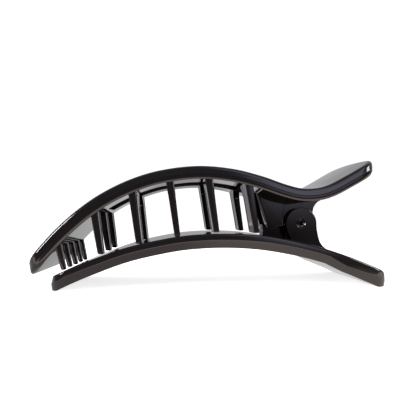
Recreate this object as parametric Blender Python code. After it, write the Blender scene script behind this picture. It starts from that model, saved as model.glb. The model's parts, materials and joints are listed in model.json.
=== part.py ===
"""Hair clip of the long beak kind: an S-curved upper arm with teeth, hinged on an arched lower arm.

+X runs from the tip of the jaws to the thumb tab, +Y across the clip and +Z up. The origin is
under the middle of the clip, on the surface that the lower arm stands on.
"""

import math

import bmesh
import bpy
from mathutils import Vector

MM = 0.001

# Upper arm: x and z of the middle of its top line, and half its width there, in mm
UPPER_LINE = (
    {"x": -62.0, "top": 9.4, "half": 16.6},
    {"x": -57.6, "top": 14.7, "half": 16.7},
    {"x": -52.4, "top": 20.5, "half": 16.8},
    {"x": -45.6, "top": 26.8, "half": 17.0},
    {"x": -37.6, "top": 32.5, "half": 17.3},
    {"x": -27.8, "top": 37.4, "half": 17.8},
    {"x": -17.8, "top": 40.5, "half": 18.3},
    {"x": -5.0, "top": 42.1, "half": 18.8},
    {"x": 7.0, "top": 41.2, "half": 19.2},
    {"x": 17.0, "top": 38.8, "half": 19.6},
    {"x": 26.0, "top": 35.8, "half": 19.9},
    {"x": 32.0, "top": 34.6, "half": 20.1},
    {"x": 39.0, "top": 35.5, "half": 20.3},
    {"x": 47.0, "top": 39.5, "half": 20.5},
    {"x": 57.0, "top": 45.6, "half": 20.5},
)
UPPER_THICKNESS = 4.5
UPPER_CROWN = 0.8
UPPER_BEVEL = 0.7
TIP_CORNER = 5.0
TAB_CORNER = 5.6
TIP_END_SLANT = math.radians(24.0)
TIP_SLANT_LENGTH = 6.0

# Groove moulded into the underside of the upper arm, between its two rails
GROOVE_HALF_WIDTH = 7.0
GROOVE_DEPTH = 2.3
GROOVE_START = -37.4
GROOVE_END = 16.6

# Lower arm: top and bottom line and half its width, in mm
LOWER_LINE = (
    {"x": -54.3, "top": 4.5, "bottom": -1.1, "half": 17.2},
    {"x": -49.0, "top": 7.0, "bottom": 1.5, "half": 17.5},
    {"x": -41.0, "top": 10.3, "bottom": 5.0, "half": 17.8},
    {"x": -30.0, "top": 14.2, "bottom": 8.8, "half": 18.2},
    {"x": -19.0, "top": 16.8, "bottom": 11.8, "half": 18.5},
    {"x": -9.0, "top": 18.4, "bottom": 13.4, "half": 18.7},
    {"x": 3.0, "top": 19.0, "bottom": 14.0, "half": 19.0},
    {"x": 15.0, "top": 18.5, "bottom": 13.4, "half": 19.3},
    {"x": 26.0, "top": 16.9, "bottom": 11.7, "half": 19.6},
    {"x": 37.0, "top": 14.3, "bottom": 8.7, "half": 19.8},
    {"x": 48.0, "top": 10.7, "bottom": 4.4, "half": 19.9},
    {"x": 56.0, "top": 7.6, "bottom": 0.8, "half": 19.8},
    {"x": 62.4, "top": 5.0, "bottom": -1.2, "half": 19.6},
)
LOWER_CORNER = 4.5
LOWER_EDGE_ROUND = 0.6
LOWER_RIDGE = 0.43      # how far down the side its ridge lies, as a share of the thickness
LOWER_TUCK = 1.3        # how far the facet under the ridge leans inwards

# Hinge
PIN_X = 34.5
PIN_Z = 22.4
PIN_RADIUS = 0.95
PIN_LENGTH = 15.8
BORE_RADIUS = 1.25
BORE_MOUTH_RADIUS = 1.95
BORE_MOUTH_DEPTH = 0.6
ROUND_SIDES = 16
SHARP_ANGLE = math.radians(40.0)
EAR_RADIUS = 5.9
EAR_OUTER = 8.2
EAR_INNER = 5.9
CHEEK_OUTER = 5.6
CHEEK_INNER = 3.6
CHEEK_RADIUS = 5.3
PAD_OUTER = 8.2
STOP_HALF_WIDTH = 3.2

# Spring round the pin
WIRE_RADIUS = 0.55
COIL_RADIUS = 2.7
COIL_TURNS = 4
COIL_PITCH = 1.27
COIL_STEPS = 14

# Teeth that stand in rows straight across the arm: root and tip of the row, size and places
TOOTH_ROWS = (
    {"name": "tip_row", "root_x": -52.1, "root_z": 16.6, "tip_x": -49.9, "tip_z": 7.2,
     "root_w": 2.0, "tip_w": 1.5, "root_d": 2.8, "tip_d": 2.2, "y": (-15.0, -7.5, 0.0, 7.5, 15.0)},
    {"name": "second_row", "root_x": -40.0, "root_z": 26.4, "tip_x": -37.8, "tip_z": 12.2,
     "root_w": 2.6, "tip_w": 2.0, "root_d": 3.0, "tip_d": 2.4, "y": (-15.3, 0.0, 15.3)},
)
# Deep blades that stand in pairs on the two rails
BLADE_PAIRS = (
    {"name": "blades_1", "root_x": -27.4, "root_z": 33.3, "tip_x": -25.0, "tip_z": 15.8, "outer": 17.3},
    {"name": "blades_2", "root_x": -14.8, "root_z": 37.6, "tip_x": -12.1, "tip_z": 18.4, "outer": 17.9},
    {"name": "blades_3", "root_x": -1.5, "root_z": 38.4, "tip_x": 1.2, "tip_z": 19.5, "outer": 18.3},
    {"name": "blades_4", "root_x": 12.4, "root_z": 36.4, "tip_x": 15.0, "tip_z": 19.2, "outer": 18.8},
)
BLADE_ROOT_WIDTH = 2.9
BLADE_TIP_WIDTH = 2.2
BLADE_ROOT_DEPTH = 10.6
BLADE_DEPTH = 8.6
BLADE_FLARE = 0.24
TOOTH_EDGE = 0.45
TOOTH_TIP_ROUND = 1.0


def start_scene():
    for thing in list(bpy.data.objects):
        bpy.data.objects.remove(thing)
    names = ("hair_clip", "upper_additions", "upper_cuts", "lower_additions", "lower_cuts")
    made = {}
    for name in names:
        made[name] = bpy.data.collections.new(name)
        bpy.context.scene.collection.children.link(made[name])
    return made


COLLECTIONS = start_scene()


def make_material(name, colour, roughness, metallic):
    material = bpy.data.materials.new(name)
    material.use_nodes = True
    shader = material.node_tree.nodes["Principled BSDF"]
    shader.inputs["Base Color"].default_value = (*colour, 1.0)
    shader.inputs["Roughness"].default_value = roughness
    shader.inputs["Metallic"].default_value = metallic
    return material


def read_line(table, name, x):
    """Value of one column at x, on a smooth curve through the table's rows."""
    xs = [row["x"] for row in table]
    values = [row[name] for row in table]
    last = len(xs) - 1
    slopes = []
    for i in range(len(xs)):
        before = max(i - 1, 0)
        after = min(i + 1, last)
        slopes.append((values[after] - values[before]) / (xs[after] - xs[before]))
    i = 0
    while i < last - 1 and x > xs[i + 1]:
        i += 1
    step = xs[i + 1] - xs[i]
    t = min(max((x - xs[i]) / step, 0.0), 1.0)
    return ((2 * t ** 3 - 3 * t ** 2 + 1) * values[i] + (t ** 3 - 2 * t ** 2 + t) * step * slopes[i]
            + (3 * t ** 2 - 2 * t ** 3) * values[i + 1] + (t ** 3 - t ** 2) * step * slopes[i + 1])


def corner_loss(distance, radius):
    """How much a corner of this radius takes off the half width, this far from the end."""
    if distance >= radius:
        return 0.0
    return radius - math.sqrt(radius ** 2 - (radius - distance) ** 2)


def stations(first, last, spacing, first_corner, last_corner):
    """Places along x for a loft, closer together where the two ends are rounded."""
    near = [0.0, 0.06, 0.22, 0.5, 1.0]
    places = [first + first_corner * share for share in near]
    places += [last - last_corner * share for share in near]
    start = first + first_corner
    stretch = last - last_corner - start
    count = max(round(stretch / spacing), 1)
    places += [start + stretch * i / count for i in range(1, count)]
    return sorted(places)


def loft(name, rings, collection):
    """A closed solid through rings that all have the same number of points, in mm."""
    mesh = bpy.data.meshes.new(name)
    body = bmesh.new()
    rows = [[body.verts.new(Vector(point) * MM) for point in ring] for ring in rings]
    count = len(rows[0])
    for row, following in zip(rows, rows[1:]):
        for i in range(count):
            j = (i + 1) % count
            body.faces.new((row[i], row[j], following[j], following[i]))
    body.faces.new(rows[0])
    body.faces.new(rows[-1])
    bmesh.ops.recalc_face_normals(body, faces=body.faces)
    body.to_mesh(mesh)
    body.free()
    solid = bpy.data.objects.new(name, mesh)
    COLLECTIONS[collection].objects.link(solid)
    return solid


def mirrored(half):
    """A full ring from the half that lies on the +Y side, top to bottom."""
    return half + [(-across, down) for across, down in reversed(half)]


def upper_frame(x):
    """Point on the arm's top line and the direction from there to its underside."""
    nudge = 0.05
    low = max(x - nudge, UPPER_LINE[0]["x"])
    high = min(x + nudge, UPPER_LINE[-1]["x"])
    slope = (read_line(UPPER_LINE, "top", high) - read_line(UPPER_LINE, "top", low)) / (high - low)
    angle = math.atan(slope)
    from_tip = (x - UPPER_LINE[0]["x"]) / TIP_SLANT_LENGTH
    slant = TIP_END_SLANT * max(1.0 - from_tip, 0.0)
    down = Vector((math.sin(angle - slant), 0.0, -math.cos(angle - slant)))
    return Vector((x, 0.0, read_line(UPPER_LINE, "top", x))), down / math.cos(slant)


def upper_ring(x, profile):
    """Ring of (across, down) points set on the arm at x."""
    point, down = upper_frame(x)
    return [(point + down * depth + Vector((0.0, across, 0.0))) for across, depth in profile]


def make_upper_plate():
    first = UPPER_LINE[0]["x"]
    last = UPPER_LINE[-1]["x"]
    rings = []
    for x in stations(first, last, 4.6, TIP_CORNER, TAB_CORNER):
        loss = max(corner_loss(x - first, TIP_CORNER), corner_loss(last - x, TAB_CORNER))
        half = read_line(UPPER_LINE, "half", x) - loss
        flat = half - 2.4
        side = [
            (flat * 0.5, -UPPER_CROWN),
            (flat, -UPPER_CROWN * 0.3),
            (half - 0.7, 0.45),
            (half, 1.7),
            (half, UPPER_THICKNESS - UPPER_BEVEL),
            (half - UPPER_BEVEL, UPPER_THICKNESS),
        ]
        rings.append(upper_ring(x, mirrored(side)))
    return loft("upper_arm", rings, "hair_clip")


def make_groove_cutter():
    corner = 3.5
    places = [GROOVE_START + corner * share for share in (0.0, 0.1, 0.35, 1.0)]
    spacing = 4.6
    count = round((GROOVE_END - places[-1]) / spacing)
    start = places[-1]
    places += [start + (GROOVE_END - start) * i / count for i in range(1, count + 1)]
    rings = []
    for x in places:
        half = GROOVE_HALF_WIDTH - corner_loss(x - GROOVE_START, corner)
        top = UPPER_THICKNESS - GROOVE_DEPTH
        bottom = UPPER_THICKNESS + 1.5
        rings.append(upper_ring(x, mirrored([(half, top), (half, bottom)])))
    return loft("groove_cutter", rings, "upper_cuts")


def tooth_ring(centre, width, depth, edge):
    """Rectangle with its corners taken off, level, round a centre in mm."""
    half_w = width / 2
    half_d = depth / 2
    edge = min(edge, half_w * 0.8)
    corners = []
    for sign_x, sign_y in ((1, 1), (-1, 1), (-1, -1), (1, -1)):
        long_way = (sign_x * half_w, sign_y * (half_d - edge))
        short_way = (sign_x * (half_w - edge), sign_y * half_d)
        corners += [long_way, short_way] if sign_x == sign_y else [short_way, long_way]
    return [centre + Vector((dx, dy, 0.0)) for dx, dy in corners]


def make_tooth(name, root, tip, sections):
    """A tooth from its root in the arm to its tip.

    sections gives, from root to tip, how far down it is, and the tooth's width, depth and place
    across the clip there.
    """
    rings = []
    for share, width, depth, across in sections:
        centre = root.lerp(tip, share)
        centre.y = across
        rings.append(tooth_ring(centre, width, depth, TOOTH_EDGE))
    return loft(name, rings, "upper_additions")


def make_teeth():
    for row in TOOTH_ROWS:
        root = Vector((row["root_x"], 0.0, row["root_z"]))
        tip = Vector((row["tip_x"], 0.0, row["tip_z"]))
        length = (root - tip).length
        for number, across in enumerate(row["y"], start=1):
            sections = (
                (0.0, row["root_w"], row["root_d"], across),
                (1.0 - TOOTH_TIP_ROUND / length, row["tip_w"], row["tip_d"], across),
                (1.0 - 0.3 * TOOTH_TIP_ROUND / length, row["tip_w"] * 0.72, row["tip_d"] * 0.8, across),
                (1.0, row["tip_w"] * 0.35, row["tip_d"] * 0.5, across),
            )
            make_tooth(f"{row['name']}_{number}", root, tip, sections)
    for pair in BLADE_PAIRS:
        root = Vector((pair["root_x"], 0.0, pair["root_z"]))
        tip = Vector((pair["tip_x"], 0.0, pair["tip_z"]))
        length = (root - tip).length
        for side in (-1, 1):
            def middle(depth):
                return side * (pair["outer"] - depth / 2)
            root_width = BLADE_ROOT_WIDTH
            tip_width = BLADE_TIP_WIDTH
            sections = (
                (0.0, root_width, BLADE_ROOT_DEPTH, middle(BLADE_ROOT_DEPTH)),
                (BLADE_FLARE, root_width * 0.95, BLADE_DEPTH, middle(BLADE_DEPTH)),
                (1.0 - TOOTH_TIP_ROUND / length, tip_width, BLADE_DEPTH, middle(BLADE_DEPTH)),
                (1.0 - 0.3 * TOOTH_TIP_ROUND / length, tip_width * 0.74, BLADE_DEPTH - 0.6,
                 middle(BLADE_DEPTH)),
                (1.0, tip_width * 0.35, BLADE_DEPTH - 1.4, middle(BLADE_DEPTH)),
            )
            make_tooth(f"{pair['name']}_{'near' if side < 0 else 'far'}", root, tip, sections)


def make_wall(name, outline, inner, outer, collection):
    """A flat wall that stands along the clip: its side outline in mm, from inner to outer in y."""
    curve = bpy.data.curves.new(name, "CURVE")
    curve.dimensions = "2D"
    curve.fill_mode = "BOTH"
    curve.extrude = abs(outer - inner) / 2 * MM
    spline = curve.splines.new("POLY")
    spline.points.add(len(outline) - 1)
    for point, (x, z) in zip(spline.points, outline):
        point.co = (x * MM, z * MM, 0.0, 1.0)
    spline.use_cyclic_u = True
    shape = bpy.data.objects.new(name + "_outline", curve)
    shape.rotation_euler.x = math.radians(90.0)
    shape.location.y = (inner + outer) / 2 * MM
    COLLECTIONS[collection].objects.link(shape)
    bpy.context.view_layer.update()
    flat = shape.evaluated_get(bpy.context.evaluated_depsgraph_get())
    mesh = bpy.data.meshes.new_from_object(flat)
    body = bmesh.new()
    body.from_mesh(mesh)
    bmesh.ops.remove_doubles(body, verts=body.verts, dist=0.000001)
    bmesh.ops.recalc_face_normals(body, faces=body.faces)
    body.to_mesh(mesh)
    body.free()
    wall = bpy.data.objects.new(name, mesh)
    wall.matrix_world = shape.matrix_world
    COLLECTIONS[collection].objects.link(wall)
    bpy.data.objects.remove(shape)
    return wall


def arc(centre, radius, start, end, steps):
    """Points on an arc in the XZ plane; angles in degrees from +X towards +Z."""
    points = []
    for i in range(steps + 1):
        angle = math.radians(start + (end - start) * i / steps)
        points.append((centre[0] + radius * math.cos(angle), centre[1] + radius * math.sin(angle)))
    return points


def make_turned(name, profile, collection):
    """A round solid on the hinge axis, through (y, radius) pairs."""
    rings = []
    for across, radius in profile:
        circle = arc((PIN_X, PIN_Z), radius, 0.0, 360.0, ROUND_SIDES)[:-1]
        rings.append([(x, across, z) for x, z in circle])
    return loft(name, rings, collection)


def make_bracket():
    """The two cheeks under the upper arm, each with a thicker pad ahead of the hinge."""
    pin = (PIN_X, PIN_Z)
    cheek = [(27.0, 33.6), (27.0, 23.6), (PIN_X - CHEEK_RADIUS, PIN_Z)]
    cheek += arc(pin, CHEEK_RADIUS, 190.0, 360.0, 10)
    cheek += [(39.9, 26.5), (40.3, 28.4), (41.4, 30.2), (43.0, 31.6), (43.0, 33.6)]
    pad = [(17.2, 36.2), (18.2, 33.0), (21.6, 20.9), (27.4, 21.4), (27.8, 33.4)]
    for side in (-1, 1):
        word = "near" if side < 0 else "far"
        make_wall(f"cheek_{word}", cheek, side * CHEEK_INNER, side * CHEEK_OUTER, "upper_additions")
        make_wall(f"pad_{word}", pad, side * CHEEK_INNER, side * PAD_OUTER, "upper_additions")
    reach = CHEEK_OUTER + 1.0
    make_turned("bracket_bore", [(-reach, BORE_RADIUS), (reach, BORE_RADIUS)], "upper_cuts")


def make_ears():
    """The two ears on the lower arm and the low stop between them."""
    ear = [(30.5, 13.2), (30.3, 16.4), (28.8, 19.6), (PIN_X - EAR_RADIUS, 21.0)]
    ear += arc((PIN_X, PIN_Z), EAR_RADIUS, 180.0, 0.0, 14)
    ear += [(40.5, 20.2), (41.0, 17.4), (41.8, 15.2), (42.8, 13.6), (43.4, 10.4)]
    stop = [(21.0, 14.6), (20.9, 21.8), (29.6, 21.0), (30.2, 17.0), (30.2, 13.4)]
    for side in (-1, 1):
        word = "near" if side < 0 else "far"
        make_wall(f"ear_{word}", ear, side * EAR_INNER, side * EAR_OUTER, "lower_additions")
    make_wall("stop", stop, -STOP_HALF_WIDTH, STOP_HALF_WIDTH, "lower_additions")
    flare = BORE_MOUTH_RADIUS - BORE_RADIUS
    mouth = [(EAR_OUTER - BORE_MOUTH_DEPTH, BORE_RADIUS),
             (EAR_OUTER + BORE_MOUTH_DEPTH, BORE_RADIUS + 2.0 * flare)]
    make_turned("ear_bore", [(-y, radius) for y, radius in reversed(mouth)] + mouth, "lower_cuts")


def make_lower_arch():
    first = LOWER_LINE[0]["x"]
    last = LOWER_LINE[-1]["x"]
    rings = []
    for x in stations(first, last, 5.0, LOWER_CORNER, LOWER_CORNER):
        loss = corner_loss(min(x - first, last - x), LOWER_CORNER)
        half = read_line(LOWER_LINE, "half", x) - loss
        top = read_line(LOWER_LINE, "top", x)
        bottom = max(read_line(LOWER_LINE, "bottom", x), 0.0)
        ridge = top - LOWER_RIDGE * (top - bottom)
        side = [
            (half - LOWER_EDGE_ROUND, top),
            (half, top - LOWER_EDGE_ROUND),
            (half, ridge),
            (half - LOWER_TUCK, bottom),
        ]
        rings.append([(x, across, z) for across, z in mirrored(side)])
    return loft("lower_arm", rings, "hair_clip")


def combine(body, additions, cuts):
    """Join what is moulded onto a body and cut its hollows."""
    joined = body.modifiers.new("additions", "BOOLEAN")
    joined.operation = "UNION"
    joined.operand_type = "COLLECTION"
    joined.collection = COLLECTIONS[additions]
    hollowed = body.modifiers.new("cuts", "BOOLEAN")
    hollowed.operation = "DIFFERENCE"
    hollowed.operand_type = "COLLECTION"
    hollowed.collection = COLLECTIONS[cuts]
    for name in (additions, cuts):
        for tool in COLLECTIONS[name].objects:
            tool.hide_render = True
            tool.display_type = "WIRE"


def move_origin(body, point):
    """Put an object's origin on a point, in mm, without moving its shape."""
    shift = Vector(point) * MM
    for vertex in body.data.vertices:
        vertex.co -= shift
    body.location = shift


def shade_round(body):
    """Shade a body smooth across its gentle bends and sharp at its corners."""
    body.data.shade_smooth()
    body.data.set_sharp_from_angle(angle=SHARP_ANGLE)


def make_pin():
    half = PIN_LENGTH / 2
    pin = make_turned("hinge_pin", [(-half, PIN_RADIUS), (half, PIN_RADIUS)], "hair_clip")
    shade_round(pin)
    return pin


def spring_route():
    """Middle of the wire: up from the lower arm, round the pin, and up to the upper arm."""
    start_angle = -50.0
    turn = 360.0 * COIL_TURNS + 105.0
    steps = round(COIL_STEPS * turn / 360.0)
    width = COIL_PITCH * turn / 360.0
    coil = []
    for i in range(steps + 1):
        share = i / steps
        angle = math.radians(start_angle + turn * share)
        coil.append(Vector((PIN_X + COIL_RADIUS * math.cos(angle), width * (share - 0.5),
                            PIN_Z + COIL_RADIUS * math.sin(angle))))
    lower_end = Vector((40.6, coil[0].y, 14.3))
    upper_end = Vector((39.4, coil[-1].y, 29.6))
    return [lower_end, lower_end.lerp(coil[0], 0.5)] + coil + [coil[-1].lerp(upper_end, 0.5), upper_end]


def make_spring():
    curve = bpy.data.curves.new("spring", "CURVE")
    curve.dimensions = "3D"
    curve.bevel_depth = WIRE_RADIUS * MM
    curve.bevel_resolution = 2
    curve.use_fill_caps = True
    route = spring_route()
    spline = curve.splines.new("POLY")
    spline.points.add(len(route) - 1)
    for point, place in zip(spline.points, route):
        point.co = (*(place * MM), 1.0)
    spring = bpy.data.objects.new("spring", curve)
    COLLECTIONS["hair_clip"].objects.link(spring)
    return spring


def build():
    plastic = make_material("black_plastic", (0.012, 0.012, 0.014), 0.12, 0.0)
    steel = make_material("spring_steel", (0.62, 0.62, 0.64), 0.3, 1.0)

    upper = make_upper_plate()
    move_origin(upper, (PIN_X, 0.0, PIN_Z))
    make_groove_cutter()
    make_teeth()
    make_bracket()
    combine(upper, "upper_additions", "upper_cuts")

    lower = make_lower_arch()
    make_ears()
    combine(lower, "lower_additions", "lower_cuts")

    for body in (upper, lower):
        shade_round(body)
        body.data.materials.append(plastic)
    for piece in (make_pin(), make_spring()):
        piece.data.materials.append(steel)


build()
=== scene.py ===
import json
import math

import bmesh
import bpy
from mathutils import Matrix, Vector

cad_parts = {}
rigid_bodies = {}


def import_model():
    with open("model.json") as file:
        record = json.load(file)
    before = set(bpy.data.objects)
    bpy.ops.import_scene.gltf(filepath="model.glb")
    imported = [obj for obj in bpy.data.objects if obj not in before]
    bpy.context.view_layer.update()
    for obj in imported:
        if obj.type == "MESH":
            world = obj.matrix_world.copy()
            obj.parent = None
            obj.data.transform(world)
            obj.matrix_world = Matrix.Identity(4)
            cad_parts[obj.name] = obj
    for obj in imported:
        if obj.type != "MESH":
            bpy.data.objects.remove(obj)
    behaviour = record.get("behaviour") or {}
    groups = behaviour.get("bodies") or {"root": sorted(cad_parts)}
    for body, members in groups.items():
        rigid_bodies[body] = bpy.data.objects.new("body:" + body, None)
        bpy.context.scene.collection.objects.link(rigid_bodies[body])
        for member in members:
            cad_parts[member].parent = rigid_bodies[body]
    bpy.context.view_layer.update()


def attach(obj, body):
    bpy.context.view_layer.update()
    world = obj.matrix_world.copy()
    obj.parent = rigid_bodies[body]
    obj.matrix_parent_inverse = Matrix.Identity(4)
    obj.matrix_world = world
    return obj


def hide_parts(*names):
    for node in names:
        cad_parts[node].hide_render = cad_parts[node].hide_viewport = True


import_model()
print("frame loaded")

mm = 0.001
tiny = 0.02 * mm     # places nearer than this count as the same
hair = 0.001         # vertices nearer than this, in mm, are one
facing = 0.9         # the least share of a face's normal along the way that it faces
squarely = 0.95      # the same for a face that faces that way squarely

hinge = {"x": 34.5, "z": 22.4}   # the pin's axis runs along y through here, in mm


# small helpers for working by hand on one piece at a time

def deselectAll():
    if bpy.context.mode != "OBJECT":
        bpy.ops.object.mode_set(mode="OBJECT")
    for thing in bpy.context.view_layer.objects:
        thing.select_set(False)


def makeActive(piece):
    deselectAll()
    piece.select_set(True)
    bpy.context.view_layer.objects.active = piece


def edit(piece):
    makeActive(piece)
    bpy.ops.object.mode_set(mode="EDIT")


def done():
    bpy.ops.object.mode_set(mode="OBJECT")


def pick(kind, wanted):
    # selects only the vertices, edges or faces of the piece in edit mode that the test wants
    bpy.ops.mesh.select_mode(type=kind)
    bpy.ops.mesh.select_all(action="DESELECT")
    mesh = bpy.context.object.data
    body = bmesh.from_edit_mesh(mesh)
    parts = {"VERT": body.verts, "EDGE": body.edges, "FACE": body.faces}[kind]
    for part in parts:
        if wanted(part):
            part.select_set(True)
    body.select_flush_mode()
    bmesh.update_edit_mesh(mesh)


def both(edge, test):
    return test(edge.verts[0].co) and test(edge.verts[1].co)


def risesBy(edge, height):
    # whether the edge spans more than this height, in mm
    return abs(edge.verts[0].co.z - edge.verts[1].co.z) > height * mm


def cutSelected(point, normal):
    # the point is in m
    bpy.ops.mesh.bisect(plane_co=point, plane_no=normal, threshold=hair * mm)


def cutAll(point, normal):
    bpy.ops.mesh.select_all(action="SELECT")
    cutSelected(point, normal)


# these change what is selected in edit mode, with sizes and places in mm

def movePicked(x=0, y=0, z=0):
    bpy.ops.transform.translate(value=(x * mm, y * mm, z * mm))


def resizePicked(x=1, y=1, z=1, centre=(0, 0, 0)):
    bpy.ops.transform.resize(value=(x, y, z), center_override=[c * mm for c in centre])


def growPicked(ends, sides, length, half):
    # moves the two ends and the two sides of a straight slab outwards
    resizePicked(1 + 2 * ends / length, 1 + sides / half, centre=(length / 2, 0, 0))


def extrudePicked(y=0, z=0):
    bpy.ops.mesh.extrude_region_move(TRANSFORM_OT_translate={"value": (0, y * mm, z * mm)})


def bevelPicked(size, segments, clamp=False):
    bpy.ops.mesh.bevel(offset=size * mm, segments=segments, affect="EDGES", clamp_overlap=clamp)


def mergeDoubles(within):
    bpy.ops.mesh.select_all(action="SELECT")
    bpy.ops.mesh.remove_doubles(threshold=within * mm)


def addCube(name, low, high):
    # low and high corners in mm
    middle = [(a + b) / 2 * mm for a, b in zip(low, high)]
    size = [(b - a) * mm for a, b in zip(low, high)]
    deselectAll()
    bpy.ops.mesh.primitive_cube_add(size=1.0, location=middle)
    piece = bpy.context.object
    piece.name = name
    piece.scale = size
    bpy.ops.object.transform_apply(location=True, rotation=True, scale=True)
    return piece


def addRod(name, radius, near, far, sides):
    # a round bar on the hinge axis
    deselectAll()
    bpy.ops.mesh.primitive_cylinder_add(
        vertices=sides, radius=radius * mm, depth=(far - near) * mm,
        location=(hinge["x"] * mm, (near + far) / 2 * mm, hinge["z"] * mm),
        rotation=(math.radians(90), 0, 0))
    rod = bpy.context.object
    rod.name = name
    bpy.ops.object.transform_apply(location=True, rotation=True, scale=True)
    return rod


def useModifier(piece, kind, **settings):
    makeActive(piece)
    modifier = piece.modifiers.new(kind.lower(), kind)
    for key, value in settings.items():
        setattr(modifier, key, value)
    bpy.ops.object.modifier_apply(modifier=modifier.name)


def joinAll(pieces, name):
    deselectAll()
    for piece in pieces:
        piece.select_set(True)
    bpy.context.view_layer.objects.active = pieces[0]
    bpy.ops.object.join()
    pieces[0].name = name
    return pieces[0]


def smooth(piece, degrees):
    # rounds look smooth and the large faces between them stay flat
    makeActive(piece)
    bpy.ops.object.shade_smooth_by_angle(angle=math.radians(degrees), keep_sharp_edges=True)
    useModifier(piece, "WEIGHTED_NORMAL", mode="FACE_AREA", weight=50, keep_sharp=True)


def smoothLine(rows, x):
    # z at x on a smooth curve through the rows
    last = len(rows) - 1
    slopes = []
    for i in range(last + 1):
        before = rows[max(i - 1, 0)]
        after = rows[min(i + 1, last)]
        slopes.append((after[1] - before[1]) / (after[0] - before[0]))
    i = 0
    while i < last - 1 and x > rows[i + 1][0]:
        i += 1
    step = rows[i + 1][0] - rows[i][0]
    t = (x - rows[i][0]) / step
    return ((2 * t ** 3 - 3 * t ** 2 + 1) * rows[i][1] + (t ** 3 - 2 * t ** 2 + t) * step * slopes[i]
            + (3 * t ** 2 - 2 * t ** 3) * rows[i + 1][1] + (t ** 3 - t ** 2) * step * slopes[i + 1])


def makePath(name, route):
    # a line through the points of the route, in mm
    curve = bpy.data.curves.new(name, "CURVE")
    curve.dimensions = "3D"
    spline = curve.splines.new("POLY")
    spline.points.add(len(route) - 1)
    for point, place in zip(spline.points, route):
        point.co = (*(place * mm), 1)
    path = bpy.data.objects.new(name, curve)
    bpy.context.scene.collection.objects.link(path)
    return path


def makeBendPath(name, rows):
    # the line that a straight arm is bent along, its points and how far along it each lies, in mm
    spacing = 0.5
    count = round((rows[-1][0] - rows[0][0]) / spacing)
    route = []
    for i in range(count + 1):
        x = rows[0][0] + (rows[-1][0] - rows[0][0]) * i / count
        route.append(Vector((x, 0, smoothLine(rows, x))))
    path = makePath(name, route)
    path.data.twist_mode = "Z_UP"
    distances = [0.0]
    for a, b in zip(route, route[1:]):
        distances.append(distances[-1] + (b - a).length)
    return path, route, distances


def alongPath(route, distances, x):
    # how far along the bend path a place x lies, in mm
    for i in range(len(route) - 1):
        if route[i + 1].x >= x:
            share = (x - route[i].x) / (route[i + 1].x - route[i].x)
            return distances[i] + share * (distances[i + 1] - distances[i])
    return distances[-1]


def setWidths(rows, fullHalf, route, distances):
    # a straight slab in edit mode gets half its width at each place x of the rows, in mm
    places = [alongPath(route, distances, x) * mm for x, half in rows]
    for place in places[1:-1]:
        cutAll((place, 0, 0), (1, 0, 0))
    for place, (x, half) in zip(places, rows):
        pick("VERT", lambda v: abs(v.co.x - place) < tiny)
        resizePicked(y=half / fullHalf)


def bend(piece, path):
    useModifier(piece, "CURVE", object=path, deform_axis="POS_X")
    bpy.data.objects.remove(path)


def raiseCrown(piece, high, half, floorLevel, length):
    # lifts what lies above floorLevel by high in the middle and by nothing at y half, through a lattice
    group = piece.vertex_groups.new(name="crowned")
    group.add([v.index for v in piece.data.vertices if v.co.z > floorLevel], 1.0, "REPLACE")
    data = bpy.data.lattices.new("crownLattice")
    rows = 15
    across, along = 2.6, 1.3     # the lattice's width in halves and its length in lengths of the piece
    data.points_u, data.points_v, data.points_w = 2, rows, 2
    lattice = bpy.data.objects.new("crownLattice", data)
    bpy.context.scene.collection.objects.link(lattice)
    # its points lie one unit apart, and gap is that unit in mm
    gap = half * across / (rows - 1)
    tall = 20 * mm
    lattice.location = (length / 2, 0, 0)
    lattice.scale = (length * along, gap * mm, tall)
    for point in data.points:
        y = point.co.y * gap
        point.co_deform.z += high * (1 - (y / half) ** 2) * mm / tall
    bpy.context.view_layer.update()
    useModifier(piece, "LATTICE", object=lattice, vertex_group=group.name)
    bpy.data.objects.remove(lattice)
    piece.vertex_groups.clear()


def roundRim(piece, wanted, size, endSize, start, end, segments):
    # rounds the wanted edges of the piece in edit mode; the round grows from size at x start
    # to endSize at x end, by the bevel weights of the edges
    pick("EDGE", wanted)
    done()
    mesh = piece.data
    weights = mesh.attributes.new("bevel_weight_edge", "FLOAT", "EDGE")
    for edge in mesh.edges:
        if edge.select:
            x = sum(mesh.vertices[i].co.x for i in edge.vertices) / 2
            near = min(max((x - start) / (end - start), 0), 1)
            weights.data[edge.index].value = (size + near * (endSize - size)) / endSize
    useModifier(piece, "BEVEL", limit_method="WEIGHT", width=endSize * mm, segments=segments,
                use_clamp_overlap=False)
    edit(piece)


def cutAcross(places, axis):
    # cuts through all of the piece in edit mode, so that it bends smoothly; places in m along the axis
    for position in places:
        place = [0, 0, 0]
        normal = [0, 0, 0]
        place[axis] = position
        normal[axis] = 1
        cutAll(place, normal)


def evenPlaces(start, stop, step):
    # both ends and even steps between them
    count = round((stop - start) / step)
    return [start + (stop - start) * i / count for i in range(count + 1)]


boreSides = 24


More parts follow.
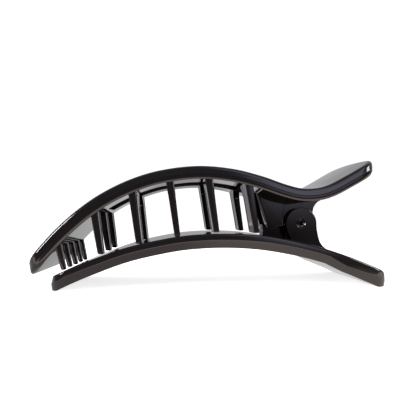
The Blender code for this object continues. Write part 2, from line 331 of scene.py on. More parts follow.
def flatWall(name, outline, near, far, edgeRound, bore=0):
    # a flat wall along the clip: its side outline in mm, its y from near to far, edges rounded,
    # with a round bore on the hinge axis where one is asked for
    hole = arc(bore, 0, 360 - 360 / boreSides, boreSides - 1) if bore else []
    curve = bpy.data.curves.new(name, "CURVE")
    curve.dimensions = "2D"
    curve.fill_mode = "BOTH"
    curve.extrude = (far - near) / 2 * mm
    for loop in (outline, hole):
        if loop:
            spline = curve.splines.new("POLY")
            spline.points.add(len(loop) - 1)
            for point, (x, z) in zip(spline.points, loop):
                point.co = (x * mm, z * mm, 0, 1)
            spline.use_cyclic_u = True
    wall = bpy.data.objects.new(name, curve)
    bpy.context.scene.collection.objects.link(wall)
    wall.rotation_euler.x = math.radians(90)
    wall.location.y = (near + far) / 2 * mm
    makeActive(wall)
    bpy.ops.object.convert(target="MESH")
    bpy.ops.object.transform_apply(location=True, rotation=True, scale=True)
    edit(wall)
    mergeDoubles(hair)
    bpy.ops.mesh.normals_make_consistent(inside=False)
    bpy.ops.mesh.dissolve_limited(angle_limit=math.radians(0.5))
    pick("EDGE", lambda e: any(abs(f.normal.y) > facing for f in e.link_faces)
         and any(abs(f.normal.y) < 1 - facing for f in e.link_faces) and not nearBore(e, bore))
    bevelPicked(edgeRound, 3, clamp=True)
    done()
    return wall


def nearAxis(p, radius):
    return math.hypot(p.x - hinge["x"] * mm, p.z - hinge["z"] * mm) < radius * mm + tiny


def nearBore(e, bore):
    return both(e, lambda p: nearAxis(p, bore))


def arc(radius, start, end, steps):
    # points round the hinge axis, degrees from +x towards +z
    points = []
    for i in range(steps + 1):
        angle = math.radians(start + (end - start) * i / steps)
        points.append((hinge["x"] + radius * math.cos(angle), hinge["z"] + radius * math.sin(angle)))
    return points


# upper arm

upperArm = {
    "topLine": ((-61.95, 9.45), (-57.6, 14.7), (-52.4, 20.5), (-45.6, 26.8), (-37.6, 32.5), (-27.8, 37.4),
                (-17.8, 40.5), (-5.0, 42.1), (7.0, 41.2), (17.0, 38.8), (26.0, 35.8), (32.0, 34.6),
                (39.0, 35.5), (47.0, 39.4), (57.0, 45.15)),   # x and z of the top, mm
    "thickness": 4.5,
    "halfWidths": ((-61.95, 16.6), (-45.6, 17.0), (-27.8, 17.8), (-5.0, 18.8), (17.0, 19.6),
                   (39.0, 20.3), (57.0, 20.5)),
    "tipCorner": 5.0, "tabCorner": 5.6, "cornerSegments": 9,    # corner radii in plan
    # how far the tip's end stands out at each depth, a flat that ends in a round below
    "tipEnd": ((2.5, 2.4), (2.9, 2.65), (3.3, 2.7), (3.7, 2.5), (4.1, 2.0), (4.5, 1.3)),
    # how much higher the middle is than y at the half, and how far down from the top this reaches
    "crown": 0.8, "crownHalf": 18.3, "crownDepth": 1.4,
    "topRound": 1.1, "tabRound": 1.9, "topSegments": 8,
    # the steep facet along the lower edge starts at one of the tip end's depths and leans in
    "facetFrom": 3.7, "facetIn": 0.45, "lowerRound": 0.15,
    "partingDepth": 2.5, "partingWidth": 0.1, "partingProud": 0.03,
    # how far out the tab's end is at the top, how far it leans in for each mm down, and how far
    # from the path's end its upright edges are looked for
    "tabOut": 1.35, "tabLean": 0.6, "tabReach": 4.0,
    "topIn": 0.17, "bottomOut": 0.03,       # how far the side leans in above and out below the parting
    "grooveFrom": -39.6, "grooveTo": 18.0, "grooveHalf": 7.0, "grooveDepth": 2.3,
    "grooveDraft": 0.3, "grooveCorner": 1.6, "grooveSegments": 7, "grooveRound": 0.35,
    "step": 1.5, "rowStep": 2.7,
}


def makeUpperPlate(a):
    path, route, distances = makeBendPath("upperBendPath", a["topLine"])
    length = distances[-1]
    thick = a["thickness"] * mm
    end = length * mm
    widest = a["halfWidths"][-1][1]
    wall, side = 0.4, 0.8     # the most upright share of a normal on the groove's walls and on the sides
    plate = addCube("upperArm", (0, -widest, -a["thickness"]), (length, widest, 0))
    edit(plate)
    setWidths(a["halfWidths"], widest, route, distances)
    # the tip's end in side view; the first of its cuts is the parting line
    for depth, out in a["tipEnd"]:
        cutAll((0, 0, -depth * mm), (0, 0, 1))
    for depth, out in a["tipEnd"]:
        pick("VERT", lambda v: v.co.x < tiny and abs(v.co.z + depth * mm) < tiny)
        movePicked(x=-out)
    # the tab's end stands upright once bent
    for depth in [0.0] + [depth for depth, out in a["tipEnd"]]:
        pick("VERT", lambda v: v.co.x > end - tiny and abs(v.co.z + depth * mm) < tiny)
        movePicked(x=a["tabOut"] - a["tabLean"] * depth)

    # corners in plan
    pick("EDGE", lambda e: risesBy(e, 0.3) and both(e, lambda p: p.x < tiny))
    bevelPicked(a["tipCorner"], a["cornerSegments"])
    pick("EDGE", lambda e: risesBy(e, 0.3) and both(e, lambda p: p.x > end - a["tabReach"] * mm))
    bevelPicked(a["tabCorner"], a["cornerSegments"])

    # sides: the lean above and below the parting line
    onLine = -a["partingDepth"] * mm
    for level, grow in ((0, -a["topIn"]), (-thick, a["bottomOut"])):
        pick("VERT", lambda v: abs(v.co.z - level) < tiny)
        growPicked(grow, grow, length, widest)

    # groove in the underside, a pocket pushed up into the one flat face
    start = alongPath(route, distances, a["grooveFrom"]) * mm
    stop = alongPath(route, distances, a["grooveTo"]) * mm
    half = a["grooveHalf"] * mm
    for point, normal in (((start, 0, 0), (1, 0, 0)), ((stop, 0, 0), (1, 0, 0)),
                          ((0, half, 0), (0, 1, 0)), ((0, -half, 0), (0, 1, 0))):
        pick("FACE", lambda f: f.normal.z < -facing)
        cutSelected(point, normal)

    def inGroove(p):
        return start - tiny < p.x < stop + tiny and abs(p.y) < half + tiny
    pick("FACE", lambda f: f.normal.z < -facing and inGroove(f.calc_center_median()))
    extrudePicked(z=a["grooveDepth"])
    pocketTop = -thick + a["grooveDepth"] * mm
    draft = a["grooveDraft"] * mm
    resizePicked(1 - 2 * draft / (stop - start), 1 - draft / half, centre=((start + stop) / 2 / mm, 0, 0))

    def inside(p):
        return -thick - tiny < p.z < pocketTop + tiny and inGroove(p)
    pick("EDGE", lambda e: both(e, inside) and risesBy(e, 1) and e.verts[0].co.x < start + draft + tiny)
    bevelPicked(a["grooveCorner"], a["grooveSegments"])
    for level in (-thick, pocketTop):
        pick("EDGE", lambda e: both(e, lambda p: inGroove(p) and abs(p.z - level) < tiny)
             and any(abs(f.normal.z) < wall for f in e.link_faces))
        bevelPicked(a["grooveRound"], 3)

    # rims: a full round above, larger at the tab's end, and a steep facet below
    def outerRim(e, low):
        steep = [f for f in e.link_faces if abs(f.normal.z) < side]
        if low:
            return len(steep) == 1 and both(e, lambda p: abs(p.z + thick) < tiny and not inGroove(p))
        return len(steep) == 1 and both(e, lambda p: p.z > -tiny)
    roundRim(plate, lambda e: outerRim(e, False), a["topRound"], a["tabRound"],
             end - a["tabCorner"] * mm, end, a["topSegments"])
    for depth, out in a["tipEnd"]:
        if depth > a["facetFrom"]:
            shift = a["facetIn"] * (depth - a["facetFrom"]) / (a["thickness"] - a["facetFrom"])
            pick("VERT", lambda v: abs(v.co.z + depth * mm) < tiny)
            growPicked(-shift, -shift, length, widest)
    pick("EDGE", lambda e: outerRim(e, True))
    bevelPicked(a["lowerRound"], 2)

    # the parting line stands a little proud
    pick("EDGE", lambda e: both(e, lambda p: abs(p.z - onLine) < tiny))
    bevelPicked(a["partingWidth"], 2)
    pick("VERT", lambda v: abs(v.co.z - onLine) < tiny)
    growPicked(a["partingProud"], a["partingProud"], length, widest)

    cutAcross(evenPlaces(a["tipCorner"] * mm, end - a["tabCorner"] * mm, a["step"] * mm), 0)
    straight = (a["halfWidths"][0][1] - a["tipCorner"]) * mm
    cutAcross(evenPlaces(-straight, straight, a["rowStep"] * mm), 1)
    mergeDoubles(2 * hair)
    done()
    # the top has a slight crown and the underside none
    raiseCrown(plate, a["crown"], a["crownHalf"], -a["crownDepth"] * mm, end)
    bend(plate, path)
    return plate


# teeth: root and tip in the side view, width along the clip, depth across it and places, in mm;
# a panel is the shallow field in each broad side, how far in its rim lies and how deep it is
slimTeeth = {
    "tip": {"root": (-52.1, 16.6), "tip": (-49.9, 7.0), "width": (2.0, 1.5), "depth": (2.9, 2.3),
            "places": (-15.0, -7.5, 0.0, 7.5, 15.0), "panel": None},
    "second": {"root": (-40.25, 28.0), "tip": (-37.8, 12.1), "width": (2.6, 2.0), "depth": (4.6, 3.8),
               "places": (-14.5, 0.0, 14.5), "panel": (0.6, 0.2)},
    "edge": 0.5,
}
deepBlades = {
    "rows": ({"root": (-27.4, 33.3), "tip": (-25.0, 15.6), "outer": 17.3},
             {"root": (-14.8, 37.6), "tip": (-12.1, 18.2), "outer": 17.9},
             {"root": (-1.5, 38.4), "tip": (1.2, 19.4), "outer": 18.3},
             {"root": (12.4, 36.4), "tip": (15.0, 19.1), "outer": 18.7}),
    "width": (2.8, 2.15),
    "depth": 8.6,
    "flare": ((0.0, 3.0), (0.06, 1.9), (0.12, 1.0), (0.19, 0.35), (0.27, 0.0)),   # share down, extra depth
    "panel": (0.7, 0.22), "edge": 0.5,
}


def makeTooth(name, root, tip, width, depth, middle, flare, edge, panel):
    # middle is the tooth's y before its inner side spreads
    height = root[1] - tip[1]
    side = 1 if middle >= 0 else -1
    low = (tip[0] - width[1] / 2, -depth[1] / 2, tip[1])
    high = (tip[0] + width[1] / 2, depth[1] / 2, root[1])
    tooth = addCube(name, low, high)
    edit(tooth)
    pick("VERT", lambda v: v.co.z > (tip[1] + 1) * mm)
    resizePicked(width[0] / width[1], depth[0] / depth[1], centre=(tip[0], 0, 0))
    movePicked(x=root[0] - tip[0])
    for share, extra in flare[1:]:
        cutAll((0, 0, (root[1] - height * share) * mm), (0, 0, 1))
    # long edges, then the tip, which is half as round again
    pick("EDGE", lambda e: risesBy(e, tiny / mm))
    bevelPicked(edge, 3, clamp=True)
    pick("EDGE", lambda e: both(e, lambda p: p.z < tip[1] * mm + tiny))
    bevelPicked(edge * 1.5, 4, clamp=True)
    if panel:
        for way in (-1, 1):
            pick("FACE", lambda f: f.normal.x * way > squarely and f.calc_area() > mm * mm)
            bpy.ops.mesh.inset(thickness=panel[0] * mm, depth=-panel[1] * mm, use_boundary=True)
    # the inner side spreads towards the root
    for share, extra in flare:
        level = (root[1] - height * share) * mm
        pick("VERT", lambda v: abs(v.co.z - level) < tiny and v.co.y * side < 0)
        movePicked(y=-side * extra)
    bpy.ops.mesh.select_all(action="SELECT")
    movePicked(y=middle)
    done()
    return tooth


def makeTeeth():
    teeth = []
    for name in ("tip", "second"):
        t = slimTeeth[name]
        for y in t["places"]:
            teeth.append(makeTooth(f"{name}Tooth", t["root"], t["tip"], t["width"], t["depth"], y,
                                   ((0.0, 0.0),), slimTeeth["edge"], t["panel"]))
    b = deepBlades
    for row in b["rows"]:
        for side in (-1, 1):
            middle = side * (row["outer"] - b["depth"] / 2)
            teeth.append(makeTooth("blade", row["root"], row["tip"], b["width"], (b["depth"], b["depth"]),
                                   middle, b["flare"], b["edge"], b["panel"]))
    return joinAll(teeth, "teeth")


bracket = {
    "cheek": [(27.0, 33.6), (27.0, 23.6), (29.2, 22.4)],
    "cheekRight": [(39.8, 22.4), (39.9, 26.5), (40.25, 28.2), (40.9, 29.4), (41.9, 30.5), (43.2, 31.2),
                   (43.2, 33.4)],
    "cheekRadius": 5.3, "cheekArc": (190, 350, 18),     # degrees and steps
    "cheekY": (3.6, 5.6),
    "pad": [(17.2, 36.4), (18.2, 33.0), (21.6, 20.9), (27.4, 21.4), (27.8, 33.4)],
    "padY": (3.9, 8.2),
    "bore": 1.25,
    "edge": 0.3, "cheekEdge": 0.2,
}


def makeBracket(b):
    walls = []
    cheek = b["cheek"] + arc(b["cheekRadius"], *b["cheekArc"]) + b["cheekRight"]
    for side in (-1, 1):
        near, far = sorted((side * b["cheekY"][0], side * b["cheekY"][1]))
        walls.append(flatWall("cheek", cheek, near, far, b["cheekEdge"], b["bore"]))
        near, far = sorted((side * b["padY"][0], side * b["padY"][1]))
        walls.append(flatWall("pad", b["pad"], near, far, b["edge"]))
    return walls


def makeUpperArm():
    plate = makeUpperPlate(upperArm)
    print("upper plate bent", len(plate.data.polygons))
    teeth = makeTeeth()
    arm = joinAll([plate, teeth] + makeBracket(bracket), "upperArm")
    print("upper arm joined", len(arm.data.polygons))
    smooth(arm, degrees=35)
    return arm


# lower arm

lowerArm = {
    "topLine": ((-54.3, 4.5), (-49.0, 7.0), (-41.0, 10.3), (-30.0, 14.2), (-19.0, 16.8), (-9.0, 18.4),
                (3.0, 19.0), (15.0, 18.5), (26.0, 16.9), (37.0, 14.3), (48.0, 10.7), (56.0, 7.6),
                (62.4, 5.0)),
    "thickness": 4.95, "thicker": ((26.0, 5.05), (48.0, 5.85), (62.4, 6.2)),   # x and thickness
    "halfWidths": ((-54.3, 17.2), (-41.0, 17.8), (-19.0, 18.5), (3.0, 19.0), (26.0, 19.6),
                   (41.0, 19.8), (48.0, 19.9), (62.4, 19.7)),
    "corner": 4.5, "cornerSegments": 9,
    "endIn": 0.2, "endOut": 3.2,            # how far each end stands in at the top and out below
    # the top's round grows towards the tail from this far before it
    "topRound": 0.6, "tailRound": 1.2, "tailFrom": 20.0, "topSegments": 6, "lowerRound": 0.3,
    # the ridge along the side, and how much lower it is at the x of one of the widths and at the tail
    "ridgeShare": 0.43, "ridgeRound": 0.2, "dropFrom": 48.0, "ridgeDrop": 1.4, "endDrop": 0.8,
    # how far the lower edge is tucked in at the sides and the ends, and how far the top lies in
    "tuck": 1.3, "tuckEnds": 0.7, "topIn": 0.12,
    "step": 1.6,
}


def makeLowerArch(a):
    path, route, distances = makeBendPath("lowerBendPath", a["topLine"])
    length = distances[-1]
    thick = a["thickness"]
    end = length * mm
    widest = a["halfWidths"][-1][1]
    arch = addCube("lowerArm", (0, -widest, -thick), (length, widest, 0))
    edit(arch)
    setWidths(a["halfWidths"], widest, route, distances)
    # thicker towards the tail
    for x, depth in a["thicker"]:
        place = alongPath(route, distances, x) * mm
        pick("VERT", lambda v: abs(v.co.x - place) < tiny)
        resizePicked(z=depth / thick)
    # the ends lean out below so that they stand upright once bent
    for place, outwards in ((0, -1), (end, 1)):
        for below, shift in ((True, a["endOut"]), (False, -a["endIn"])):
            pick("VERT", lambda v: abs(v.co.x - place) < 0.5 * mm and (v.co.z < -mm) == below)
            movePicked(x=outwards * shift)
    for atTail in (False, True):
        pick("EDGE", lambda e: risesBy(e, 1) and (both(e, lambda p: p.x > end - mm) if atTail
                                                  else both(e, lambda p: p.x < mm)))
        bevelPicked(a["corner"], a["cornerSegments"])

    # side ridge, with the facet below it tucked in
    ridge = -a["ridgeShare"] * thick * mm
    cutAll((0, 0, ridge), (0, 0, 1))
    for above, ends, sides in ((True, a["topIn"], a["topIn"]), (False, a["tuckEnds"], a["tuck"])):
        pick("VERT", lambda v: v.co.z > -tiny if above else v.co.z < -thick * mm + tiny)
        growPicked(-ends, -sides, length, widest)

    # the ridge and the rims
    pick("EDGE", lambda e: both(e, lambda p: abs(p.z - ridge) < tiny))
    bevelPicked(a["ridgeRound"], 2)
    place = alongPath(route, distances, a["dropFrom"]) * mm
    onRidge = 1.5 * a["ridgeRound"] * mm
    for start, stop, drop in ((place - tiny, place + mm, a["ridgeDrop"]),
                              (place + mm, 2 * end, a["endDrop"])):
        pick("VERT", lambda v: start < v.co.x < stop and abs(v.co.z - ridge) < onRidge)
        movePicked(z=-drop)
    roundRim(arch, lambda e: both(e, lambda p: p.z > -tiny) and any(f.normal.z < 0.5 for f in e.link_faces),
             a["topRound"], a["tailRound"], end - a["tailFrom"] * mm, end, a["topSegments"])
    pick("EDGE", lambda e: any(f.normal.z < -facing for f in e.link_faces)
         and any(f.normal.z > -facing for f in e.link_faces))
    bevelPicked(a["lowerRound"], 3)

    cutAcross(evenPlaces(a["corner"] * mm, end - a["corner"] * mm, a["step"] * mm), 0)
    mergeDoubles(2 * hair)
    done()
    bend(arch, path)
    # flat feet
    edit(arch)
    bpy.ops.mesh.select_all(action="SELECT")
    bpy.ops.mesh.bisect(plane_co=(0, 0, 0), plane_no=(0, 0, 1), clear_inner=True, use_fill=True,
                        threshold=hair * mm)
    done()
    return arch


ears = {
    "left": [(30.5, 13.2), (30.3, 16.4), (28.9, 19.4), (28.6, 21.0)],
    "right": [(40.4, 22.4), (40.5, 20.2), (41.0, 17.4), (41.6, 15.6), (42.6, 14.0), (43.9, 12.9),
              (44.6, 10.6)],
    "radius": 5.9, "arc": (180, 0, 30),     # degrees and steps
    "y": (5.9, 8.2),
    # the chamfer at the bore's outer end, the round on its rim and the radius that holds both
    "bore": 1.25, "mouth": 0.6, "rim": 0.12, "mouthZone": 2.2,
    "edge": 0.3,
}
stopWall = {
    "outline": [(21.0, 14.6), (20.9, 21.8), (29.6, 21.0), (30.2, 17.0), (30.2, 13.4)],
    "half": 3.2,
    "edge": 0.3,
}


def makeEar(e, side):
    outline = e["left"] + arc(e["radius"], *e["arc"]) + e["right"][1:]
    near, far = sorted((side * e["y"][0], side * e["y"][1]))
    ear = flatWall("ear", outline, near, far, e["edge"], e["bore"])
    edit(ear)
    outside = (e["y"][1] - 0.1) * mm
    pick("EDGE", lambda x: nearBore(x, e["bore"]) and both(x, lambda p: p.y * side > outside))
    bevelPicked(e["mouth"], 1)

    def chamfer(f):
        return 0.2 < abs(f.normal.y) < facing and nearAxis(f.calc_center_median(), e["mouthZone"])
    pick("EDGE", lambda x: any(chamfer(f) for f in x.link_faces)
         and any(abs(f.normal.y) > facing for f in x.link_faces) and nearBore(x, e["mouthZone"]))
    bevelPicked(e["rim"], 2)
    done()
    return ear


def makeLowerArm():
    arch = makeLowerArch(lowerArm)
    print("lower arch bent", len(arch.data.polygons))
    stop = flatWall("stop", stopWall["outline"], -stopWall["half"], stopWall["half"], stopWall["edge"])
    arm = joinAll([arch, stop, makeEar(ears, -1), makeEar(ears, 1)], "lowerArm")
    smooth(arm, degrees=35)
    print("lower arm joined", len(arm.data.polygons))
    return arm


# hinge pin and spring

# its ends are flared and hollow, like a tubular rivet's
pinSize = {"radius": 0.95, "half": 7.4, "sides": 40, "flare": 1.45, "flareLength": 0.5, "edge": 0.14,
           "wall": 0.45, "hollow": 2.5}
# the coil stops beside the leg that moves with the upper arm, so the two pass each other
springSize = {"wire": 0.5, "radius": 2.7, "start": -50, "turn": 1545, "pitch": 1.06, "stepsPerTurn": 28,
              "shift": -0.6, "legGap": 1.06, "legSteps": 6,
              "lowerEnd": (40.6, 14.6), "upperEnd": (39.4, 29.4)}


def makePin(p):
    pin = addRod("hingePin", p["radius"], -p["half"], p["half"], p["sides"])
    edit(pin)
    axis = (hinge["x"], 0, hinge["z"])
    grow = p["flare"] / p["radius"]
    for side in (-1, 1):
        pick("FACE", lambda f: f.normal.y * side > squarely)
        extrudePicked(y=side * p["flareLength"])
        resizePicked(grow, 1, grow, axis)
    pick("EDGE", lambda e: any(abs(f.normal.y) > facing for f in e.link_faces)
         and any(abs(f.normal.y) < facing for f in e.link_faces))
    bevelPicked(p["edge"], 3, clamp=True)
    for side in (-1, 1):
        pick("FACE", lambda f: f.normal.y * side > squarely)
        bpy.ops.mesh.inset(thickness=(p["wall"] - p["edge"]) * mm)
        pick("FACE", lambda f: f.normal.y * side > squarely and nearAxis(f.calc_center_median(), 0.1))
        extrudePicked(y=-side * p["hollow"])
    done()
    smooth(pin, degrees=40)
    return pin


def wireThrough(name, route, radius):
    wire = makePath(name, route)
    wire.data.bevel_depth = radius * mm
    wire.data.bevel_resolution = 5
    wire.data.use_fill_caps = True
    makeActive(wire)
    bpy.ops.object.convert(target="MESH")
    edit(wire)
    mergeDoubles(hair)
    bpy.ops.mesh.normals_make_consistent(inside=False)
    done()
    smooth(wire, degrees=40)
    return wire


def makeSpring(s):
    # the coil turns from the start angle through the turn, in degrees, and the legs' ends are x and z
    steps = round(s["stepsPerTurn"] * s["turn"] / 360)
    width = s["pitch"] * s["turn"] / 360
    coil = []
    for i in range(steps + 1):
        angle = math.radians(s["start"] + s["turn"] * i / steps)
        coil.append(Vector((hinge["x"] + s["radius"] * math.cos(angle),
                            width * (i / steps - 0.5) + s["shift"],
                            hinge["z"] + s["radius"] * math.sin(angle))))
    lowerEnd = Vector((s["lowerEnd"][0], coil[0].y, s["lowerEnd"][1]))
    legStart = coil[-1] + Vector((0, s["legGap"], 0))
    upperEnd = Vector((s["upperEnd"][0], legStart.y, s["upperEnd"][1]))
    lowerLeg = [lowerEnd.lerp(coil[0], i / s["legSteps"]) for i in range(s["legSteps"])]
    upperLeg = [legStart.lerp(upperEnd, i / s["legSteps"]) for i in range(s["legSteps"] + 1)]
    return (wireThrough("springCoil", lowerLeg + coil, s["wire"]),
            wireThrough("springLeg", upperLeg, s["wire"]))


upper = makeUpperArm()
lower = makeLowerArm()
pin = makePin(pinSize)
coil, leg = makeSpring(springSize)
print("pieces made")


# materials

def colour(code):
    # sRGB hex to the linear values that the shader takes
    values = [int(code[i:i + 2], 16) / 255 for i in (1, 3, 5)]
    return tuple(v / 12.92 if v <= 0.04045 else ((v + 0.055) / 1.055) ** 2.4 for v in values) + (1.0,)


def addNode(material, kind, links=None, **settings):
    # settings that name an input set its value; the rest are the node's own
    node = material.node_tree.nodes.new(kind)
    for key, value in settings.items():
        if key in node.inputs:
            node.inputs[key].default_value = value
        else:
            setattr(node, key, value)
    for socket, source in (links or {}).items():
        material.node_tree.links.new(source, node.inputs[socket])
    return node


def addRange(tree, value, fromMin, fromMax, toMin, toMax, kind="SMOOTHSTEP"):
    node = addNode(tree, "ShaderNodeMapRange", {"Value": value}, interpolation_type=kind)
    for socket, level in (("From Min", fromMin), ("From Max", fromMax), ("To Min", toMin),
                          ("To Max", toMax)):
        node.inputs[socket].default_value = level
    return node.outputs["Result"]


def newMaterial(name):
    material = bpy.data.materials.new(name)
    material.use_nodes = True
    material.node_tree.nodes.clear()
    return material


def blackAcetate():
    # injection moulded, polished black acetate: a deep gloss with faint flow waves and fine haze marks
    m = newMaterial("polishedBlackAcetate")
    place = addNode(m, "ShaderNodeTexCoord").outputs["Object"]
    flow = addNode(m, "ShaderNodeTexNoise", {"Vector": place}, Scale=90.0, Detail=2.0, Roughness=0.5)
    haze = addNode(m, "ShaderNodeTexNoise", {"Vector": place}, Scale=450.0, Detail=4.0, Roughness=0.6)
    gloss = addRange(m, haze.outputs["Fac"], 0.35, 0.7, 0.04, 0.09, "LINEAR")
    tone = addNode(m, "ShaderNodeMix", {"Factor": flow.outputs["Fac"]}, data_type="RGBA")
    tone.inputs["A"].default_value = colour("#121011")
    tone.inputs["B"].default_value = colour("#161314")
    wave = addNode(m, "ShaderNodeBump", {"Height": flow.outputs["Fac"]}, Strength=0.05, Distance=0.0004)
    shader = addNode(m, "ShaderNodeBsdfPrincipled",
                     {"Base Color": tone.outputs["Result"], "Roughness": gloss,
                      "Normal": wave.outputs["Normal"]}, IOR=1.52)
    addNode(m, "ShaderNodeOutputMaterial", {"Surface": shader.outputs["BSDF"]})
    return m


def drawnSteel():
    # hard drawn spring wire: grey, with fine lines along it that blur its shine
    m = newMaterial("drawnSpringSteel")
    place = addNode(m, "ShaderNodeTexCoord").outputs["Object"]
    lines = addNode(m, "ShaderNodeTexNoise", {"Vector": place}, Scale=1400.0, Detail=3.0)
    rough = addRange(m, lines.outputs["Fac"], 0.0, 1.0, 0.22, 0.42, "LINEAR")
    shader = addNode(m, "ShaderNodeBsdfPrincipled", {"Roughness": rough}, Metallic=1.0)
    shader.inputs["Base Color"].default_value = colour("#b4b4b8")
    addNode(m, "ShaderNodeOutputMaterial", {"Surface": shader.outputs["BSDF"]})
    return m


def blackenedSteel():
    # turned steel blackened in a hot oxide bath: nearly black, with a dull sheen and darker pores
    m = newMaterial("blackOxideSteel")
    place = addNode(m, "ShaderNodeTexCoord").outputs["Object"]
    pores = addNode(m, "ShaderNodeTexNoise", {"Vector": place}, Scale=1800.0, Detail=2.0)
    tone = addRange(m, pores.outputs["Fac"], 0.35, 0.65, 0.03, 0.1)
    shade = addNode(m, "ShaderNodeCombineColor", {"Red": tone, "Green": tone, "Blue": tone})
    rough = addRange(m, pores.outputs["Fac"], 0.35, 0.65, 0.2, 0.3)
    shader = addNode(m, "ShaderNodeBsdfPrincipled",
                     {"Base Color": shade.outputs["Color"], "Roughness": rough}, Metallic=1.0)
    addNode(m, "ShaderNodeOutputMaterial", {"Surface": shader.outputs["BSDF"]})
    return m


plastic = blackAcetate()
steel = drawnSteel()
darkSteel = blackenedSteel()
for piece, material, body, slot, nodes in (
        (upper, plastic, "upper", "upper_plastic", ("upper_arm",)),
        (lower, plastic, "lower", "lower_plastic", ("lower_arm",)),
        (pin, darkSteel, "lower", "pin_steel", ("hinge_pin",)),
        (coil, steel, "lower", "spring_steel", ("spring",)),
        (leg, steel, "upper", "spring_steel", ("spring",))):
    piece.data.materials.clear()
    piece.data.materials.append(material)
    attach(piece, body)
    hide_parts(*nodes)
print("materials set")


# floor, light and camera

studio = {
    "floor": {
        "left": -1.5, "right": 1.5, "front": -0.11, "back": 0.3, "colour": "#f4f2f2",
        # the painted glow that the camera sees, which keeps the shade on the floor faint, grows from the
        # first level to the second over this span of y
        "glow": (0.25, 0.75), "glowSpan": (-0.06, -0.016),
        # a painted reflection, which the plastic mirrors in place of the lit floor: a warm strip in front
        # of the clip, dark beyond it,
        "mirrored": (0.3, 2.1), "farReach": (-0.075, -0.055), "mirroredTint": "#fff0eb",
        # weaker from the second span of y on, more so at the left end of this span of x,
        "close": (0.9, 1.5), "closeSpan": (-0.015, 0.01), "closeReach": (-0.036, -0.031),
        # and white under and behind the clip, in place of the shade there
        "behind": 0.75, "backReach": (-0.02, -0.01),
    },
    # overhead only lights; the two at the sides also show as streaks on the plastic
    "aim": (0, 0, 0.02),
    "lights": {
        "overhead": {"place": (0.0, -0.15, 1.0), "size": (1.8, 1.8), "power": 5.5, "seen": False},
        "left": {"place": (-0.62, -0.36, 0.26), "size": (0.1, 0.28), "power": 5.0, "seen": True},
        "right": {"place": (0.69, -0.32, 0.33), "size": (0.3, 0.3), "power": 3.6, "seen": True},
    },
    # what the plastic mirrors: a lit backdrop behind, a dark room in front with one tall soft panel;
    # each light has its colour, the range in which it changes and its levels at that range's two ends
    "world": {
        "back": ("#f6f4f9", (0.0, 0.5), (0.5, 0.84)),
        "warm": ("#ecd0c0", (-0.05, 0.15), (0.1, 0.0)),
        "cool": ("#d6d4e9", (-0.02, 0.25), (0.02, 0.22)),
        "panel": ("#d6d4e9", (0.0, 0.24), (2.1, 0.0)),
        "panelAcross": (0.94, 0.342, 0.0), "panelFoot": (-0.04, 0.13), "panelHead": (0.7, 0.98),
        "panelFront": (-0.3, -0.1), "turnToBack": (-0.35, 0.5), "seen": 1.1,
    },
    "camera": {"lens": 31.41, "sensor": 36.0, "clip": (0.01, 20.0), "place": (-0.01328, -0.141, 0.02396),
               "tilt": 91.736, "turn": -5.35},
}


def makeFloor(f):
    # white acrylic with a painted glow that the camera sees, which keeps the shadows on it faint; it glows
    # less in front of the clip. All other rays see a painted reflection in place of the lit floor
    deselectAll()
    bpy.ops.mesh.primitive_plane_add(
        size=1, location=((f["left"] + f["right"]) / 2, (f["front"] + f["back"]) / 2, 0))
    floor = bpy.context.object
    floor.name = "floor"
    floor.scale = (f["right"] - f["left"], f["back"] - f["front"], 1)
    bpy.ops.object.transform_apply(location=True, rotation=True, scale=True)
    m = newMaterial("acrylicPaintedGlowAndReflection")
    place = addNode(m, "ShaderNodeTexCoord").outputs["Object"]
    grain = addNode(m, "ShaderNodeTexNoise", {"Vector": place}, Scale=300.0, Detail=2.0)
    soft = addRange(m, grain.outputs["Fac"], 0.0, 1.0, 0.6, 0.7, "LINEAR")
    axes = addNode(m, "ShaderNodeSeparateXYZ", {"Vector": place})
    # painted glow: light that only the camera sees, which lightens the shade on the floor
    glow = addRange(m, axes.outputs["Y"], *f["glowSpan"], *f["glow"])
    lit = addNode(m, "ShaderNodeBsdfPrincipled", {"Roughness": soft, "Emission Strength": glow})
    lit.inputs["Base Color"].default_value = colour(f["colour"])
    lit.inputs["Specular IOR Level"].default_value = 0.1
    lit.inputs["Emission Color"].default_value = colour("#ffffff")
    # painted reflection: an emission that every ray but the camera's sees, in place of the lit floor
    far = addRange(m, axes.outputs["Y"], *f["farReach"], *f["mirrored"])
    close = addRange(m, axes.outputs["X"], *f["closeSpan"], *f["close"])
    reach = addRange(m, axes.outputs["Y"], *f["closeReach"], 0.0, 1.0)
    near = addNode(m, "ShaderNodeMix", {"Factor": reach, "A": far, "B": close})
    back = addRange(m, axes.outputs["Y"], *f["backReach"], 0.0, 1.0)
    strength = addNode(m, "ShaderNodeMix", {"Factor": back, "A": near.outputs["Result"]})
    strength.inputs["B"].default_value = f["behind"]
    tint = addNode(m, "ShaderNodeMix", {"Factor": back}, data_type="RGBA")
    tint.inputs["A"].default_value = colour(f["mirroredTint"])
    tint.inputs["B"].default_value = colour("#ffffff")
    mirrored = addNode(m, "ShaderNodeEmission",
                       {"Color": tint.outputs["Result"], "Strength": strength.outputs["Result"]})
    seen = addNode(m, "ShaderNodeLightPath").outputs["Is Camera Ray"]
    shader = addNode(m, "ShaderNodeMixShader", {0: seen, 1: mirrored.outputs[0], 2: lit.outputs[0]})
    addNode(m, "ShaderNodeOutputMaterial", {"Surface": shader.outputs["Shader"]})
    floor.data.materials.append(m)


def addSoftbox(name, s):
    data = bpy.data.lights.new(name, "AREA")
    data.shape = "RECTANGLE"
    data.size, data.size_y = s["size"]
    data.energy = s["power"]
    light = bpy.data.objects.new(name, data)
    bpy.context.scene.collection.objects.link(light)
    light.location = s["place"]
    aim = Vector(studio["aim"]) - light.location
    light.rotation_euler = aim.to_track_quat("-Z", "Y").to_euler()
    light.visible_glossy = s["seen"]


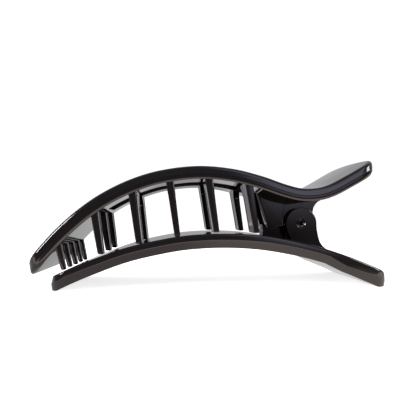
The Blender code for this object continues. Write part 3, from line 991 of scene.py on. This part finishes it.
def makeWorld(s):
    world = bpy.data.worlds.new("studioRoom")
    bpy.context.scene.world = world
    world.use_nodes = True
    world.node_tree.nodes.clear()
    way = addNode(world, "ShaderNodeTexCoord").outputs["Generated"]
    axes = addNode(world, "ShaderNodeSeparateXYZ", {"Vector": way})
    height = axes.outputs["Z"]

    def background(hexCode, strength):
        node = addNode(world, "ShaderNodeBackground", {"Strength": strength})
        node.inputs["Color"].default_value = colour(hexCode)
        return node.outputs["Background"]
    back, warm, cool = [background(code, addRange(world, height, *span, *levels))
                        for code, span, levels in (s["back"], s["warm"], s["cool"])]
    front = addNode(world, "ShaderNodeAddShader", {0: warm, 1: cool}).outputs["Shader"]
    # the panel stands upright, 20 degrees right of the camera
    aside = addNode(world, "ShaderNodeVectorMath", {0: way}, operation="DOT_PRODUCT")
    aside.inputs[1].default_value = s["panelAcross"]
    distance = addNode(world, "ShaderNodeMath", {0: aside.outputs["Value"]}, operation="ABSOLUTE")
    code, span, levels = s["panel"]
    level = addRange(world, distance.outputs["Value"], *span, *levels)
    for limits in ((height, *s["panelFoot"], 0.0, 1.0), (height, *s["panelHead"], 1.0, 0.0),
                   (axes.outputs["Y"], *s["panelFront"], 1.0, 0.0)):
        level = addNode(world, "ShaderNodeMath", {0: level, 1: addRange(world, *limits)},
                        operation="MULTIPLY").outputs["Value"]
    panel = background(code, level)
    behind = addRange(world, axes.outputs["Y"], *s["turnToBack"], 0.0, 1.0)
    room = addNode(world, "ShaderNodeMixShader", {0: behind, 1: front, 2: back})
    lit = addNode(world, "ShaderNodeAddShader", {0: room.outputs["Shader"], 1: panel})
    white = addNode(world, "ShaderNodeBackground", Color=colour("#ffffff"), Strength=s["seen"])
    seen = addNode(world, "ShaderNodeLightPath").outputs["Is Camera Ray"]
    mix = addNode(world, "ShaderNodeMixShader", {0: seen, 1: lit.outputs["Shader"],
                                                 2: white.outputs["Background"]})
    addNode(world, "ShaderNodeOutputWorld", {"Surface": mix.outputs["Shader"]})


def makeCamera(c):
    data = bpy.data.cameras.new("photoCamera")
    data.sensor_width = c["sensor"]
    data.lens = c["lens"]
    data.clip_start, data.clip_end = c["clip"]
    camera = bpy.data.objects.new("photoCamera", data)
    bpy.context.scene.collection.objects.link(camera)
    camera.location = c["place"]
    camera.rotation_euler = (math.radians(c["tilt"]), 0, math.radians(c["turn"]))
    bpy.context.scene.camera = camera


makeFloor(studio["floor"])
for name, settings in studio["lights"].items():
    addSoftbox(name + "Softbox", settings)
makeWorld(studio["world"])
makeCamera(studio["camera"])
bpy.context.scene.view_settings.view_transform = "Standard"
print("studio set")
